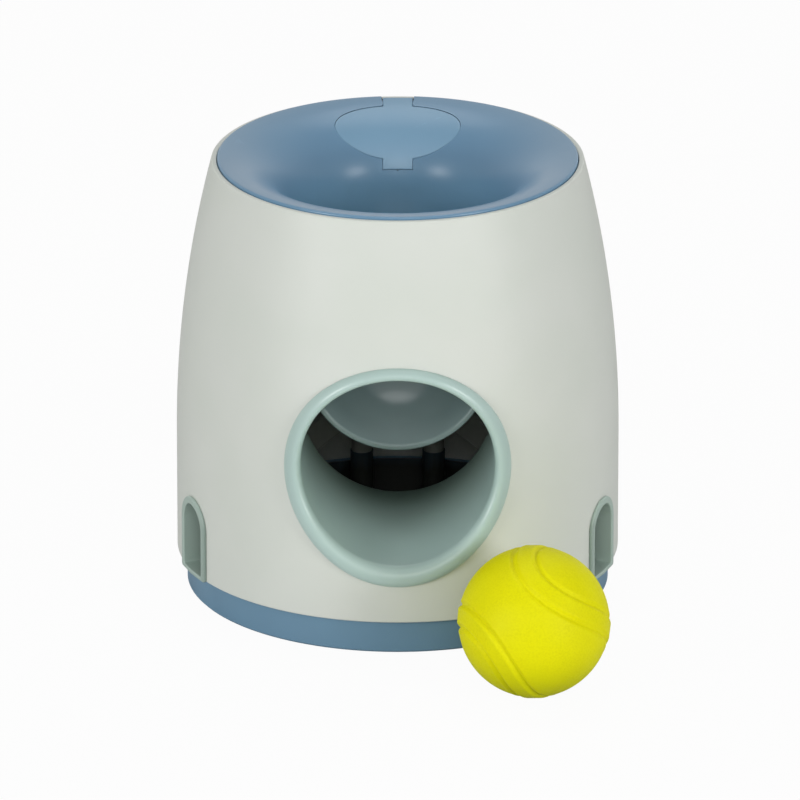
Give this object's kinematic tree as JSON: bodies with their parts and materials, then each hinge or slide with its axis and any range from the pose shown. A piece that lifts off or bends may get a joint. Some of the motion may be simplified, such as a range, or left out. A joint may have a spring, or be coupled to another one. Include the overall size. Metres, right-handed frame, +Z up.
{
  "type": "dog puzzle toy",
  "caption": "Barrel-shaped dog toy: a ball dropped in the top funnel tips a scoop, rolls out at the front and makes a drum release treats at the sides.",
  "frame": {"origin": "on the floor under the centre of the casing, in the plane of the anti-slip ring's underside", "axes": "+Z up, -Y towards the front where the ball rolls out, +X to the right as seen by the viewer in front"},
  "size_m": [0.17, 0.2345, 0.1725],
  "materials": {
    "casing": "satin pale grey-green",
    "blue": "satin slate blue",
    "lid_blue": "satin light blue",
    "sage": "semi-gloss sage green",
    "inner": "matt pale grey",
    "nylon": "smooth off-white",
    "steel": "zinc plated",
    "rubber": "matt",
    "foam": "fine pebbled foam rubber"
  },
  "bodies": {
    "casing": {"outer_shell": "casing", "base_plate": "blue", "anti_slip_ring": "rubber", "funnel": "blue", "lid_hinge_pin": "steel", "exit_tube": "sage", "treat_exit_liner_left": "sage", "treat_exit_liner_right": "sage", "treat_ramp": "inner", "frame_left": "inner", "frame_right": "inner", "scoop_bumpers": "rubber", "scoop_bushes": "nylon", "drum_bushes": "nylon", "hopper": "inner", "base_screws": "steel", "frame_screws": "steel", "tube_screws": "steel", "ramp_screws": "steel", "funnel_screws": "steel", "hopper_screws": "steel"},
    "scoop": {"scoop": "sage", "gear_sector": "nylon", "counterweight_arm": "inner", "counterweight": "steel", "counterweight_screw": "steel", "trunnion_screws": "steel"},
    "drum": {"metering_drum": "nylon", "drum_axle": "steel", "drum_pinion": "nylon", "drum_axle_clips": "steel"},
    "lid": {"fill_lid": "lid_blue"},
    "ball": {"ball": "foam"}
  },
  "joints": [
    {"name": "scoop_tilt", "type": "hinge", "parent": "casing", "child": "scoop", "pos_m": [0, 0.012, 0.078], "axis": [1, 0, 0], "range_deg": [0, 24]},
    {"name": "drum_turn", "type": "hinge", "parent": "casing", "child": "drum", "pos_m": [0, 0.058, 0.078], "axis": [1, 0, 0], "range_deg": [-114, 0]},
    {"name": "lid_hinge", "type": "hinge", "parent": "casing", "child": "lid", "pos_m": [0, 0.065, 0.1701], "axis": [-1, 0, 0], "range_deg": [0, 100]},
    {"name": "ball_lift", "type": "slide", "parent": "casing", "child": "ball", "axis": [0, 0, 1], "range_m": [0, 0.18]}
  ],
  "couplings": [
    {"joint": "drum_turn", "follows": "scoop_tilt", "ratio": -4.75}
  ]
}
